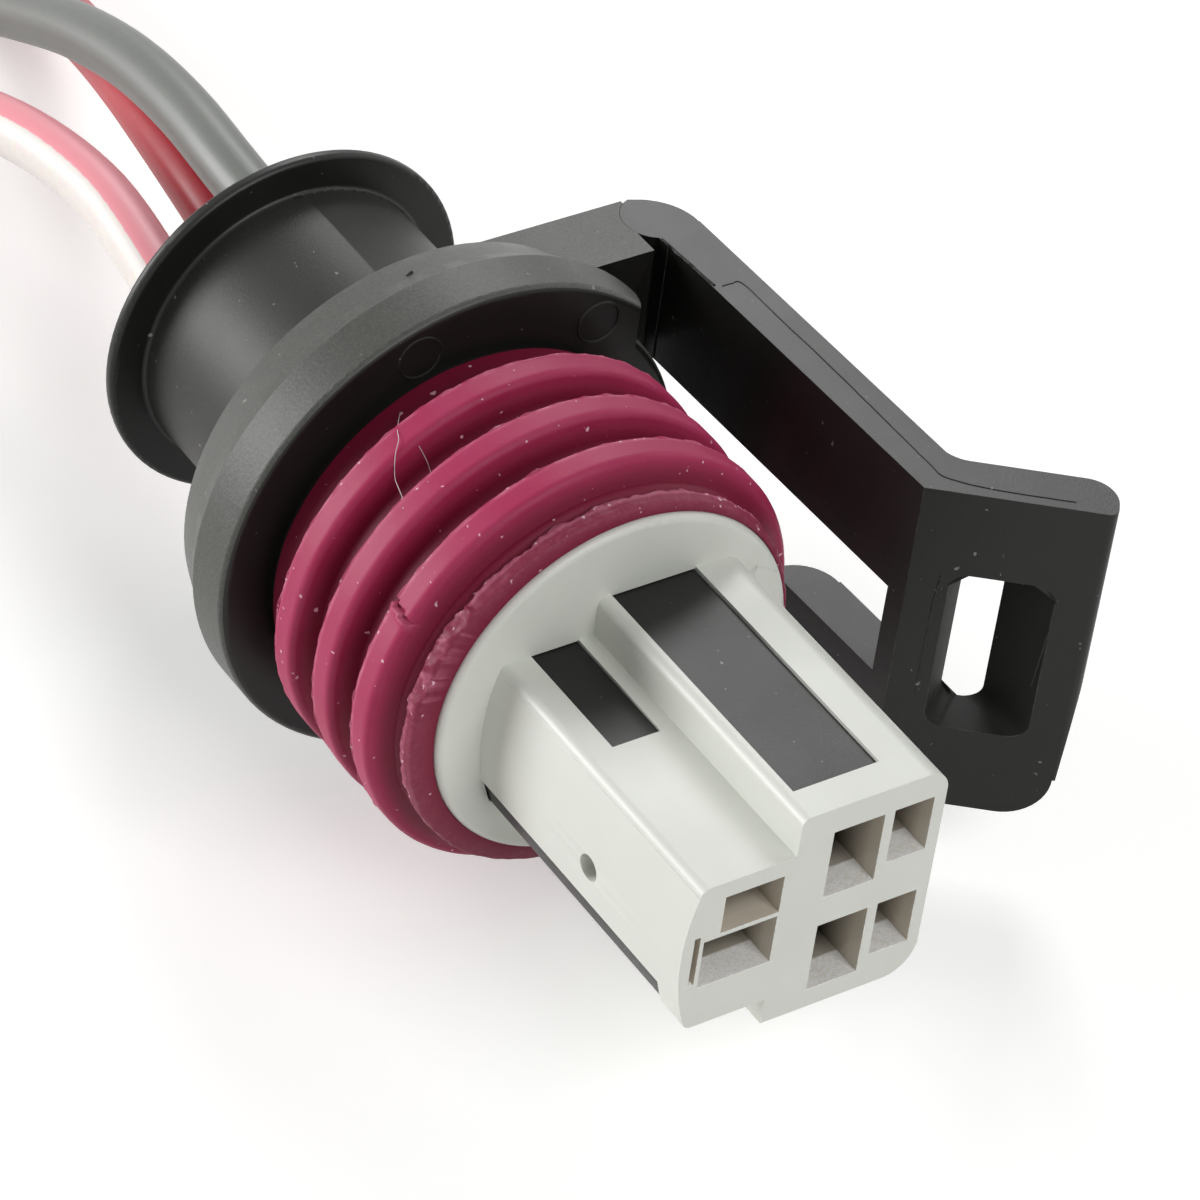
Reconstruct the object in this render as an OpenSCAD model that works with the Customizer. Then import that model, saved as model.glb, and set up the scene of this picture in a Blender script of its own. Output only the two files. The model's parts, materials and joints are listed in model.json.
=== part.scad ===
// Sealed three-way automotive connector with a pigtail of three wires.
// Origin: on the connector's axis, at the front face of the mid flange.
// -Y points out of the nose, +X to the latch, +Z up.

/* [Flanges and barrel] */
// Diameter of the mid flange
flange_d = 21.8; // [21.6:0.1:24]
// Thickness of the mid flange's rim
flange_t = 2.4; // [1.8:0.1:2.8]
// Length of the cone behind the rim
collar_l = 2.2; // [1.6:0.1:2.6]
// Fall of the cone's radius over its length
collar_drop = 1.0; // [0.6:0.1:1.4]
// Radius of the flange in its recess beside the latch
recess_r = 9.7; // [9.4:0.05:9.9]
// Height of the shoulder over the neck, which backs the seal
shoulder_h = 1.0; // [0.8:0.05:1.1]
// Length of the shoulder in front of the flange
shoulder_l = 0.4; // [0.2:0.1:0.8]
// Diameter of the barrel
barrel_d = 13; // [12.4:0.1:14]
// Distance from the flange's front face to the rear disc
barrel_end = 13.7; // [13:0.1:18]
// Diameter of the thin rear disc
rear_disc_d = 16.1; // [15.5:0.1:18]
// Thickness of the rear disc
rear_disc_t = 0.6; // [0.5:0.1:2]
// Distance from the axis to the flange's cut, at its front face
cut_front_x = 7.1; // [6.8:0.1:7.4]
// Distance from the axis to the flange's cut, at its rear edge
cut_rear_x = 8.5; // [8:0.1:9]

/* [Main seal] */
// Thickness of the seal at the bottom of its grooves
seal_wall = 1.25; // [1.15:0.05:1.4]
// Height of a rib over the grooves
rib_h = 1.0; // [0.9:0.05:1.2]
// Thickness of the seal's lip round the cap's disc
lip_t = 0.25; // [0.15:0.05:0.3]
// Length of the lip in front of the neck
lip_l = 0.55; // [0.4:0.05:0.7]
// Distance of the seal's centre from the flange's centre, away from the latch
seal_shift = 0.4; // [0:0.05:0.45]
// Diameter of the neck that carries the seal
neck_d = 14.4; // [14:0.1:15]
// Distance from the flange to the neck's front end
neck_l = 9.95; // [9.6:0.05:11]
// Distance from the flange to the middle rib
rib_middle = 5.55; // [5.4:0.05:5.7]
// Distance between neighbouring ribs
rib_pitch = 2.8; // [2.6:0.05:3]
// Radius of a rib's crest
rib_r = 0.35; // [0.2:0.05:0.5]
// Width of a rib's crest
rib_w = 1.35; // [1:0.05:1.5]
// How far a rib's flank leans out on each side
rib_lean = 0.3; // [0.1:0.05:0.4]

/* [Nose cap] */
// Diameter of the cap's disc
disc_d = 15.6; // [15.2:0.1:15.7]
// Thickness of the cap's disc
disc_t = 0.85; // [0.7:0.05:1.2]
// Length of the nose in front of the disc
nose_l = 13.6; // [13:0.1:16]
// Distance from the axis to the nose's crowned left side
nose_left = 5.92; // [5.8:0.02:6.2]
// Radius of the crown on the left side
crown_r = 10; // [8:0.5:14]
// Distance from the axis to the nose's right side
nose_right = 5.2; // [5.1:0.05:5.6]
// Height of the hump's top
hump_top = 4.8; // [4.7:0.05:5.2]
// Left side of the hump
hump_left = 1.35; // [1.2:0.05:1.5]
// Height of the wing's top, left of the hump
wing_top = 3.0; // [2.9:0.05:3.2]
// Depth of the wing's underside
wing_bottom = 3.95; // [3.9:0.05:4.3]
// Depth of the nose's underside
nose_bottom = 5.15; // [5:0.05:5.6]
// Left side of the deep part of the nose
keel_left = 1.7; // [1.5:0.05:2.4]
// Radius of the lower right corner
corner_r = 1.45; // [0.8:0.05:1.6]
// Radius of the upper right corner
top_corner_r = 1.0; // [0.4:0.05:1.1]
// Radius of the nose's other lengthwise edges
nose_edge_r = 0.4; // [0.2:0.05:0.5]
// Diameter of the inspection hole in the left side
peep_d = 1.1; // [0.8:0.05:1.2]

/* [Terminals] */
// Long side of a blade window
window_long = 3.2; // [3:0.05:3.3]
// Short side of a blade window
window_short = 2.25; // [2.1:0.05:2.35]
// Clearance between a terminal and its window
terminal_gap = 0.1; // [0.05:0.01:0.15]
// Sheet thickness of a terminal
sheet = 0.3; // [0.2:0.05:0.35]
// Length of a terminal's box
box_l = 7.0; // [6:0.1:7.5]
// Distance from the nose front to the terminals
terminal_depth = 6.0; // [5.5:0.1:6.5]

/* [Wires] */
// Diameter over a wire's insulation
wire_d = 2.5; // [2.1:0.05:2.6]
// Diameter of the stranded conductor
strand_d = 1.3; // [1.1:0.05:1.5]
// Length of the stripped end
strip_l = 6.0; // [4:0.5:10]
// Diameter of the round cavity for a cable seal
cavity_d = 4.0; // [3.9:0.02:4.1]
// Length of a cable seal
cable_seal_l = 5.0; // [4:0.1:6]

/* [Latch] */
// Height of the latch's top face above the axis
latch_h = 7.7; // [7.2:0.1:8.2]
// Half the gap between the arm and the stub below it
arm_gap = 2.1; // [1.8:0.1:2.6]
// Thickness of the arm and of the pad
arm_t = 2.05; // [1.8:0.05:2.2]
// Distance from the axis to the arm's inner face at its root
arm_x = 10.65; // [10.6:0.05:11.2]
// Distance from the flange's front face to the pad's bend
bend_l = 13.4; // [12.8:0.1:14.4]
// Outward lean of the arm, in degrees
arm_lean = 1.7; // [1:0.1:2.5]
// Angle between the arm and the pad, in degrees
pad_angle = 50; // [40:1:55]
// Length of the pad along its face
pad_l = 7.4; // [7:0.1:8.5]
// How far the pad's outer edge leans in over its height
pad_lean = 0.4; // [0:0.1:0.8]
// Radius of the pad's lower outer corner
pad_corner_r = 2.0; // [1:0.1:3]
// Radius of the pad's outer tip, seen from above
pad_tip_r = 1.3; // [0.8:0.1:1.5]
// Radius of the pad's inner tip, seen from above
pad_edge_r = 0.4; // [0.2:0.1:0.5]
// Radius inside the bend, on the latch's outer side
bend_r = 1.5; // [0.8:0.1:1.7]
// Width of the window in the pad
pad_window_w = 4.1; // [3:0.1:4.2]
// Height of the window in the pad
pad_window_h = 7.6; // [6.5:0.1:8.4]
// Distance from the bend to the window
pad_window_s = 1.6; // [1.4:0.1:2]
// How far the window narrows towards its far end, through the pad
pad_window_taper = 1.9; // [0.5:0.1:2.2]
// Length of the short stub behind the pad
stub_l = 7.8; // [6.5:0.1:8.4]
// Width of the bar that joins arm, stub and pad
bar_l = 1.0; // [0.8:0.1:1.5]
// Thickness of the leg that carries the arm
leg_t = 3.3; // [3:0.1:3.6]
// Distance from the flange's front face to the leg
leg_y = 3.4; // [3.2:0.1:3.6]
// Radius of the arm's round root in its seat
root_r = 1.4; // [1.2:0.05:1.5]
// Clearance of the round root
root_gap = 0.03; // [0.02:0.01:0.06]

/* [Hidden] */
fit = 0.02;
over = 0.5;
edge_r = 0.3;
round_fn = 72;
small_fn = 40;

// Each way: centre x, centre z, angle of the terminal's long side to X
ways = [[-3.37, -0.85, 0], [1.35, 1.97, 90], [1.35, -2.64, 90]];

seal_root_r = neck_d / 2 + seal_wall;
seal_r = seal_root_r + rib_h;
disc_front = -neck_l - disc_t;
nose_front = disc_front - nose_l;
front_block_l = 4.0;
rear_end = barrel_end + rear_disc_t;
terminal_w = window_long - 2 * terminal_gap;
terminal_h = window_short - 2 * terminal_gap;
terminal_front = nose_front + terminal_depth;
crimp_l = 2.6;
neck_strip_l = 1.0;
conductor_front = terminal_front + box_l + neck_strip_l;
insulation_front = conductor_front + crimp_l + 0.6;
cavity_front = insulation_front - 0.4;
grip_l = 2.0;
cable_seal_front = rear_end - 1.4 - cable_seal_l;
hinge_x = arm_x + 0.65;
hinge_y = leg_y + leg_t - root_r;
leg_end_x = arm_x - 0.65;
leg_tip_x = hinge_x - 0.75;
outer_r = 2.4;
pad_turn = pad_angle - 90 + arm_lean;

// Tongues of the core that lie in the cap's slots: x0, x1, z0, z1, front y
long_tongue_front = nose_front + 1.5;
short_tongue_front = nose_front + 8;
tongues = [
    [-0.77, 2.94, hump_top - 0.95, hump_top - 0.15, long_tongue_front],
    [-4.1, -2.06, wing_top - 0.75, wing_top - 0.1, short_tongue_front],
    [-nose_left - 0.1, -4.6, -wing_bottom + 0.12, -wing_bottom + 1.3, long_tongue_front]];
peep_y = nose_front + 6.1;

// Route of each wire's centre line, from its terminal to its far end
floor_z = wire_d / 2 - flange_d / 2;
route_1 = [[-3.37, insulation_front, -0.85], [-3.37, 3, -0.85], [-3.37, 12, -0.85], [-3.15, 16, -0.83],
    [-2.6, 20, -0.6], [-2.13, 25, -0.56], [-2.3, 30, -1.2], [-3, 35, -2.5], [-4.1, 40, -4.4],
    [-5.3, 45, -6.4], [-6.4, 50, -8.1], [-7.2, 55, -9.2], [-7.8, 60, floor_z], [-8.2, 65, floor_z],
    [-8.4, 70, floor_z], [-8.2, 76, floor_z], [-7.8, 82, floor_z], [-7.2, 88, floor_z],
    [-6.6, 94, floor_z], [-6.2, 100, floor_z], [-6, 105, floor_z]];
route_2 = [[1.35, insulation_front, 1.97], [1.35, 3, 1.97], [1.35, 12, 1.97], [1.4, 16, 2.1],
    [1.6, 21, 2.2], [2.1, 26, 1.9], [2.5, 31, 1], [2.7, 36, -0.6], [2.7, 41, -2.8], [2.5, 46, -5.2],
    [2.2, 51, -7.4], [2, 56, -8.9], [1.8, 61, floor_z], [1.6, 66, floor_z], [1.2, 72, floor_z],
    [0.8, 78, floor_z], [0.6, 84, floor_z], [0.8, 90, floor_z], [1.2, 96, floor_z],
    [1.6, 102, floor_z], [1.8, 108, floor_z]];
route_3 = [[1.35, insulation_front, -2.64], [1.35, 3, -2.64], [1.35, 12, -2.64], [1.45, 16, -2.3],
    [1.8, 20, -1.6], [2.35, 25, -1.3], [3.4, 30, -2], [4.8, 35, -3.4], [6.3, 40, -5.2], [7.6, 45, -7],
    [8.8, 50, -8.4], [9.7, 55, -9.3], [10.3, 60, floor_z], [10.6, 65, floor_z], [10.6, 71, floor_z],
    [10.2, 77, floor_z], [9.6, 83, floor_z], [9, 89, floor_z], [8.6, 95, floor_z], [8.4, 100, floor_z]];
routes = [route_1, route_2, route_3];

// ---------------------------------------------------------------- helpers
// A box between two corners
module box_to(a, b) {
    translate(a) cube(b - a);
}

// A solid of revolution about Y, its outline drawn as [radius, y]
module turned(fn = round_fn) {
    rotate([90, 0, 0]) mirror([0, 0, 1]) rotate_extrude($fn = fn) children();
}

// A cylinder along +Y
module rod(x, z, y0, y1, d, fn = small_fn) {
    translate([x, y0, z]) rotate([-90, 0, 0]) cylinder(d = d, h = y1 - y0, $fn = fn);
}

// A 2D box between two corners
module rect_to(a, b) {
    translate(a) square(b - a);
}

// What rounds an inside corner at the origin, filling the quadrant of +x, +y
module fillet_2d(r) {
    difference() {
        square(r);
        translate([r, r]) circle(r = r, $fn = small_fn);
    }
}

// What is cut from the corner at +x, +y of a circle's square
module fillet_corner(r) {
    difference() {
        square(r + over);
        circle(r = r, $fn = small_fn);
    }
}

// A 2D box with the two corners at its far x rounded: r at its low y, high_r at its high y
module rect_round_end(a, b, r, high_r) {
    difference() {
        rect_to(a, b);
        translate([b.x - r, a.y + r]) mirror([0, 1]) fillet_corner(r);
        translate([b.x - high_r, b.y - high_r]) fillet_corner(high_r);
    }
}

// ---------------------------------------------------------------- housing
// Barrel and rear disc, with a fillet at each end of the barrel
module barrel_outline() {
    rect_to([0, 0], [barrel_d / 2, rear_end]);
    disc_edge_r = rear_disc_t * 0.4;
    rect_round_end([0, barrel_end], [rear_disc_d / 2, rear_end], disc_edge_r, disc_edge_r);
    translate([barrel_d / 2, barrel_end]) mirror([0, 1]) fillet_2d(0.2);
    translate([barrel_d / 2, flange_t + collar_l]) fillet_2d(0.8);
}

// Neck and shoulder that the seal sits on
module seat_outline() {
    rect_to([0, -neck_l], [neck_d / 2, flange_t]);
    rect_to([0, -shoulder_l], [neck_d / 2 + shoulder_h, flange_t]);
}

module flange_outline() {
    rim_r = flange_d / 2;
    rect_round_end([0, 0], [rim_r, flange_t], edge_r, edge_r);
    polygon([[0, flange_t - 0.5], [rim_r - 0.05, flange_t - 0.5],
        [rim_r - collar_drop, flange_t + collar_l], [0, flange_t + collar_l]]);
}

module recess_outline() {
    rect_round_end([0, 0], [recess_r, flange_t + 0.6], edge_r, edge_r);
}

// The flange's rim and cone, cut away on a slant beside the latch
module flange() {
    slant = cut_rear_x - cut_front_x;
    difference() {
        turned() flange_outline();
        translate([0, 0, -flange_d]) linear_extrude(2 * flange_d)
            polygon([[cut_front_x - slant, -flange_t], [2 * flange_d, -flange_t],
                [2 * flange_d, 3 * flange_t], [cut_front_x + 3 * slant, 3 * flange_t]]);
    }
    turned() recess_outline();
}

// The leg that stands out behind the flange and carries the latch's arm
module leg() {
    translate([0, 0, arm_gap]) linear_extrude(latch_h - arm_gap) difference() {
        rect_to([0, leg_y], [leg_tip_x, leg_y + leg_t]);
        translate([hinge_x, hinge_y]) circle(r = root_r + root_gap, $fn = round_fn);
        rect_to([leg_end_x, leg_y - over], [hinge_x, hinge_y]);
    }
}

module tongue(t, grow = 0) {
    box_to([t[0] - grow, t[4] - grow, t[2] - grow], [t[1] + grow, -neck_l + over, t[3] + grow]);
}

module housing() {
    color([0.11, 0.11, 0.11]) difference() {
        union() {
            turned() barrel_outline();
            translate([-seal_shift, 0, 0]) turned() seat_outline();
            flange();
            leg();
            for (i = [0, 1]) tongue(tongues[i]);
            intersection() {
                tongue(tongues[2]);
                translate([0, -neck_l + over, 0]) rotate([90, 0, 0])
                    linear_extrude(nose_l + 3) crown(0.15);
            }
        }
        for (w = ways) {
            rod(w[0], w[1], cavity_front, rear_end + over, cavity_d);
            translate([w[0], 0, w[1]]) rotate([0, w[2], 0])
                box_to([-window_long / 2, -neck_l - over, -window_short / 2],
                    [window_long / 2, cavity_front + over, window_short / 2]);
        }
    }
}

// ---------------------------------------------------------------- nose cap
// What bounds the crowned left side, drawn in X and Z
crown_centre = [crown_r - nose_left, -0.3];

module crown(inset = 0) {
    translate(crown_centre) circle(r = crown_r - inset, $fn = 180);
}

module nose_outline() {
    intersection() {
        union() {
            rect_to([-nose_left - 1, -wing_bottom], [nose_right, wing_top]);
            rect_to([-hump_left, 0], [nose_right, hump_top]);
            difference() {
                rect_to([-keel_left, -nose_bottom], [nose_right, 0]);
                translate([nose_right - corner_r, corner_r - nose_bottom])
                    rotate(180) mirror([1, 0]) fillet_corner(corner_r);
            }
        }
        crown();
        union() {
            rect_to([-2 * nose_right, -2 * nose_right], [nose_right - top_corner_r, hump_top]);
            rect_to([-2 * nose_right, -2 * nose_right], [nose_right, hump_top - top_corner_r]);
            translate([nose_right - top_corner_r, hump_top - top_corner_r])
                circle(r = top_corner_r, $fn = small_fn);
        }
    }
}

// Where an edge's centre lies, at height z, so that it runs smoothly into the crown
function crown_edge_x(z) = crown_centre.x
    - sqrt(pow(crown_r - nose_edge_r, 2) - pow(z - crown_centre.y, 2));

// What rounds the edges along the left side and the hump
module nose_edges() {
    r = nose_edge_r;
    translate([crown_edge_x(wing_top - r), wing_top - r]) mirror([1, 0]) fillet_corner(r);
    translate([crown_edge_x(r - wing_bottom), r - wing_bottom]) rotate(180) fillet_corner(r);
    translate([r - hump_left, hump_top - r]) mirror([1, 0]) fillet_corner(r);
}

// A lock window: centre x, centre z, width and height
lock_windows = [[-3.02, 1.35, 2.55, 1.75], [3.8, 2.3, 1.75, 2.55], [3.8, -2.3, 1.75, 2.55]];

module nose_cap() {
    color([0.8, 0.8, 0.77]) difference() {
        union() {
            turned() rect_round_end([0, disc_front], [disc_d / 2, -neck_l], edge_r, edge_r);
            translate([0, disc_front + 0.1, 0]) rotate([90, 0, 0]) linear_extrude(nose_l + 0.1) difference() {
                nose_outline();
                nose_edges();
            }
        }
        for (w = ways) translate([w[0], 0, w[1]]) rotate([0, w[2], 0])
            box_to([-window_long / 2, nose_front - over, -window_short / 2],
                [window_long / 2, over - neck_l, window_short / 2]);
        for (l = lock_windows)
            box_to([l[0] - l[2] / 2, nose_front - over, l[1] - l[3] / 2],
                [l[0] + l[2] / 2, nose_front + front_block_l, l[1] + l[3] / 2]);
        // slots over the core's tongues, open outwards in front of the disc
        for (i = [0, 1]) tongue(tongues[i], 0.05);
        intersection() {
            tongue(tongues[2], 0.05);
            translate([0, -neck_l + over, 0]) rotate([90, 0, 0]) linear_extrude(nose_l + 3) crown(0.1);
        }
        for (i = [0, 1]) box_to([tongues[i][0] - 0.05, tongues[i][4] - 0.05, tongues[i][2]],
            [tongues[i][1] + 0.05, disc_front, tongues[i][3] + 1]);
        box_to([-nose_left - 1, tongues[2][4] - 0.05, -wing_bottom - over],
            [tongues[2][1] + 0.05, disc_front, tongues[2][3] + 0.05]);
        // slit beside the left window, and the inspection hole
        box_to([-5.4, nose_front - over, -1.75], [-5.15, nose_front + 1.5, 0.6]);
        translate([-nose_left - 1, peep_y, -0.75]) rotate([0, 90, 0])
            cylinder(d = peep_d, h = 3, $fn = small_fn);
    }
}

// ---------------------------------------------------------------- main seal
module rib_outline(y) {
    foot = rib_w / 2 + rib_lean;
    rect_round_end([seal_root_r - over, y - rib_w / 2], [seal_r, y + rib_w / 2], rib_r, rib_r);
    polygon([[seal_root_r - over, y - foot], [seal_root_r, y - foot], [seal_r - rib_r, y - rib_w / 2],
        [seal_r - rib_r, y + rib_w / 2], [seal_root_r, y + foot], [seal_root_r - over, y + foot]]);
}

module main_seal() {
    front = -neck_l;
    lip_r = disc_d / 2 + fit + seal_shift + lip_t;
    color([0.56, 0.12, 0.28]) difference() {
        translate([-seal_shift, 0, 0]) turned() {
            rect_to([neck_d / 2 + fit, front], [seal_root_r, -shoulder_l]);
            for (i = [-1:1]) rib_outline(i * rib_pitch - rib_middle);
            rect_to([neck_d / 2 + fit, front - lip_l], [lip_r, front + over]);
        }
        // the lip is thinnest beside the latch, because its bore follows the cap's disc
        rod(0, 0, front - lip_l - over, front, disc_d + 2 * fit, round_fn);
    }
}

// ---------------------------------------------------------------- terminals
module trough(y0, y1, inner_d) {
    difference() {
        rod(0, 0, y0, y1, inner_d + 2 * sheet);
        rod(0, 0, y0 - over, y1 + over, inner_d);
        box_to([-inner_d, y0 - over, inner_d * 0.3], [inner_d, y1 + over, inner_d]);
    }
}

module terminal(i) {
    w = ways[i];
    bottom = -terminal_h / 2;
    color([0.75, 0.72, 0.66]) translate([w[0], 0, w[1]]) rotate([0, w[2], 0]) {
        difference() {
            box_to([-terminal_w / 2, terminal_front, bottom],
                [terminal_w / 2, terminal_front + box_l, -bottom]);
            box_to([sheet - terminal_w / 2, terminal_front - over, bottom + sheet],
                [terminal_w / 2 - sheet, terminal_front + box_l + over, -bottom - sheet]);
        }
        // contact spring: a strip that rises inside the box
        box_to([-0.6, terminal_front + 1.2, bottom + sheet - 0.05],
            [0.6, terminal_front + box_l - 1, bottom + 1.8 * sheet]);
        // strip from the box to the conductor's grip, stepped down to the insulation's grip
        box_to([-0.5, terminal_front + box_l - sheet, -strand_d / 2 - sheet],
            [0.5, insulation_front - fit, -strand_d / 2 - fit]);
        box_to([-0.5, insulation_front - sheet, -wire_d / 2 - sheet],
            [0.5, insulation_front - fit, -strand_d / 2 - fit]);
        box_to([-0.5, insulation_front - sheet, -wire_d / 2 - sheet],
            [0.5, insulation_front + sheet, -wire_d / 2 - 2 * fit]);
        trough(conductor_front, conductor_front + crimp_l, strand_d + 2 * fit);
        trough(insulation_front, insulation_front + grip_l, wire_d + 2 * fit);
    }
}

module conductor(i) {
    color([0.72, 0.45, 0.25])
        rod(ways[i][0], ways[i][1], conductor_front, insulation_front, strand_d);
}

// ---------------------------------------------------------------- cable seals
module cable_seal(i) {
    color([0.5, 0.15, 0.25]) translate([ways[i][0], cable_seal_front, ways[i][1]]) turned(small_fn) {
        rect_to([wire_d / 2 + fit, 0], [cavity_d / 2 - 0.25, cable_seal_l]);
        for (k = [0:2]) translate([cavity_d / 2 - 0.3 - fit, cable_seal_l * (0.2 + 0.3 * k)])
            circle(r = 0.3, $fn = small_fn);
    }
}

// ---------------------------------------------------------------- wires
function unit(v) = v / norm(v);
function heading(p, i) = unit(p[min(i + 1, len(p) - 1)] - p[max(i - 1, 0)]);
function across(d) = unit(cross(d, [0, 0, 1]));

// A round tube swept along the points of a route
module tube(p, d, sides = 8) {
    n = len(p);
    points = [for (i = [0:n - 1]) let (h = heading(p, i), a = across(h), b = cross(a, h))
        for (k = [0:sides - 1]) p[i] + d / 2 * (cos(360 * k / sides) * a + sin(360 * k / sides) * b)];
    walls = [for (i = [0:n - 2]) for (k = [0:sides - 1]) let (m = (k + 1) % sides)
        [i * sides + k, i * sides + m, (i + 1) * sides + m, (i + 1) * sides + k]];
    ends = [[for (k = [sides - 1:-1:0]) k], [for (k = [0:sides - 1]) (n - 1) * sides + k]];
    polyhedron(points, concat(walls, ends));
}

wire_colours = [[0.95, 0.75, 0.75], [0.4, 0.4, 0.4], [0.66, 0.25, 0.28]];

module wire(i) {
    color(wire_colours[i]) tube(routes[i], wire_d);
}

module bare_end(i) {
    p = routes[i];
    last = p[len(p) - 1];
    way = heading(p, len(p) - 1);
    color([0.72, 0.45, 0.25]) translate(last) rotate([0, 0, atan2(way.y, way.x)])
        rotate([0, 90, 0]) cylinder(d = strand_d, h = strip_l, $fn = small_fn);
}

// ---------------------------------------------------------------- latch
// Places what follows at the bend, with x along the pad and y through it
module at_bend() {
    translate([arm_x + (bend_l + hinge_y) * tan(arm_lean), -bend_l, 0])
        rotate([0, 0, pad_turn]) children();
}

// The arm from above, from its round root to the bend
module arm_plan() {
    slope = tan(arm_lean);
    from_y = leg_y + leg_t - outer_r;
    x0 = arm_x + (hinge_y - from_y) * slope;
    x1 = arm_x + (hinge_y + bend_l) * slope;
    back = arm_t * tan(pad_angle / 2);
    polygon([[x0, from_y], [x1, -bend_l], [x1 + arm_t, back - bend_l], [x0 + arm_t, from_y]]);
}

module root_plan() {
    intersection() {
        union() {
            translate([hinge_x, hinge_y]) circle(r = root_r, $fn = round_fn);
            rect_to([arm_x, leg_y], [arm_x + arm_t + 1, hinge_y]);
            rect_to([hinge_x, leg_y], [arm_x + arm_t + 1, leg_y + leg_t]);
        }
        union() {
            rect_to([0, 0], [arm_x + arm_t, leg_y + leg_t - outer_r]);
            rect_to([0, 0], [arm_x + arm_t - outer_r, leg_y + leg_t]);
            translate([arm_x + arm_t - outer_r, leg_y + leg_t - outer_r])
                circle(r = outer_r, $fn = round_fn);
        }
    }
}

// The pad from above, its outer end rounded
module pad_plan() {
    at_bend() rect_round_end([0, 0], [pad_l, arm_t], pad_edge_r, pad_tip_r);
}

// What rounds the inside corner between the arm's and the pad's outer sides
module bend_fillet() {
    reach = bend_r * tan(pad_angle / 2);
    at_bend() translate([arm_t * tan(pad_angle / 2), arm_t]) difference() {
        polygon([[0, -over], [reach, -over], [reach, bend_r],
            [-reach * cos(pad_angle) - over * sin(pad_angle), reach * sin(pad_angle) - over * cos(pad_angle)]]);
        translate([reach, bend_r]) circle(r = bend_r, $fn = round_fn);
    }
}

// The pad's face: x along the pad, y downwards, its outer edge leaning in
module pad_face() {
    low = pad_l - pad_lean;
    intersection() {
        polygon([[0, -latch_h - over], [pad_l + over, -latch_h - over], [pad_l + over, -latch_h],
            [low, latch_h], [0, latch_h]]);
        union() {
            rect_to([0, -latch_h - over], [pad_l + over, latch_h - pad_corner_r]);
            rect_to([0, -latch_h - over], [low - pad_corner_r, latch_h]);
            translate([low - pad_corner_r, latch_h - pad_corner_r])
                circle(r = pad_corner_r, $fn = small_fn);
        }
    }
}

// What the leaning outer edge and the lower corner leave off the pad
module pad_trim() {
    at_bend() rotate([-90, 0, 0]) translate([0, 0, -over]) linear_extrude(arm_t + 2 * over)
        difference() {
            rect_to([pad_l / 2, -latch_h - 2 * over], [pad_l + 2 * over, latch_h + over]);
            pad_face();
        }
}

// The window's plan narrows from the pad's front face to its back
module pad_window() {
    near = pad_window_s;
    far = near + pad_window_w;
    slope = pad_window_taper / arm_t;
    low = 0.3 * slope;
    at_bend() linear_extrude(pad_window_h, center = true)
        polygon([[near - low * over, -over], [far + slope * over, -over],
            [far - slope * (arm_t + over), arm_t + over], [near + low * (arm_t + over), arm_t + over]]);
}

// The stub below the gap, seen from above, ends in a round outer corner
module stub_limit() {
    rear = stub_l - bend_l;
    r = arm_t * 0.9;
    outer = arm_x + arm_t + (hinge_y - rear) * tan(arm_lean);
    rect_to([0, -3 * bend_l], [2 * outer, rear - r]);
    rect_to([0, -3 * bend_l], [outer - r, rear]);
    translate([outer - r, rear - r]) circle(r = r, $fn = small_fn);
}

module latch() {
    color([0.13, 0.13, 0.13]) difference() {
        translate([0, 0, -latch_h]) linear_extrude(2 * latch_h) {
            root_plan();
            arm_plan();
            pad_plan();
            bend_fillet();
        }
        // gap between the arm and the stub, closed by the bar beside the pad
        box_to([0, bar_l - bend_l, -arm_gap], [2 * arm_x, 2 * bend_l, arm_gap + fit]);
        translate([0, 0, -latch_h - over]) linear_extrude(latch_h - arm_gap + 2 * over) difference() {
            rect_to([0, -2 * bend_l], [3 * arm_x, 2 * bend_l]);
            stub_limit();
        }
        pad_window();
        pad_trim();
    }
}

housing();
latch();
main_seal();
nose_cap();
cable_seal(0);  // cable_seal_1
cable_seal(1);  // cable_seal_2
cable_seal(2);  // cable_seal_3
terminal(0);  // terminal_1
terminal(1);  // terminal_2
terminal(2);  // terminal_3
conductor(0);  // conductor_1
conductor(1);  // conductor_2
conductor(2);  // conductor_3
wire(0);  // wire_1
wire(1);  // wire_2
wire(2);  // wire_3
bare_end(0);  // bare_end_1
bare_end(1);  // bare_end_2
bare_end(2);  // bare_end_3
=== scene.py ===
import json
import math

import bmesh
import bpy
from mathutils import Matrix, Vector, noise
from mathutils.bvhtree import BVHTree


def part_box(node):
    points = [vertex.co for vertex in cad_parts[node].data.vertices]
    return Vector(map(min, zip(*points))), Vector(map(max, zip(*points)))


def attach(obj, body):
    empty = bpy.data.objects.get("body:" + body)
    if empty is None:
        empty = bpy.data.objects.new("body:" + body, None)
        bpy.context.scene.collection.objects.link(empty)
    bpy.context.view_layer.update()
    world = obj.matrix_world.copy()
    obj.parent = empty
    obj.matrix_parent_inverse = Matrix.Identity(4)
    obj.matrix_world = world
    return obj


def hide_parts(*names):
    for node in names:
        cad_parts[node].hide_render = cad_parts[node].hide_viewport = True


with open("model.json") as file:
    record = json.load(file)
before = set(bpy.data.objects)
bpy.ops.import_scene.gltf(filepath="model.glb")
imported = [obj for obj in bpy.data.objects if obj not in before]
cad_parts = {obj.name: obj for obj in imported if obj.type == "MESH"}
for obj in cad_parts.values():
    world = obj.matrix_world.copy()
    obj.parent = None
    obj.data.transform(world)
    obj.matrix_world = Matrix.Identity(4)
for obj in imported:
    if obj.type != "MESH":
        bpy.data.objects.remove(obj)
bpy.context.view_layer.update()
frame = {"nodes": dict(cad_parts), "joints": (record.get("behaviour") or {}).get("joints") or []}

# ---------------------------------------------------------------- Camera
# A long lens that looks at the plug from its front left and from above.
# Its frame takes in the whole plug and the start of its leads.
MM = 0.001
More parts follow.
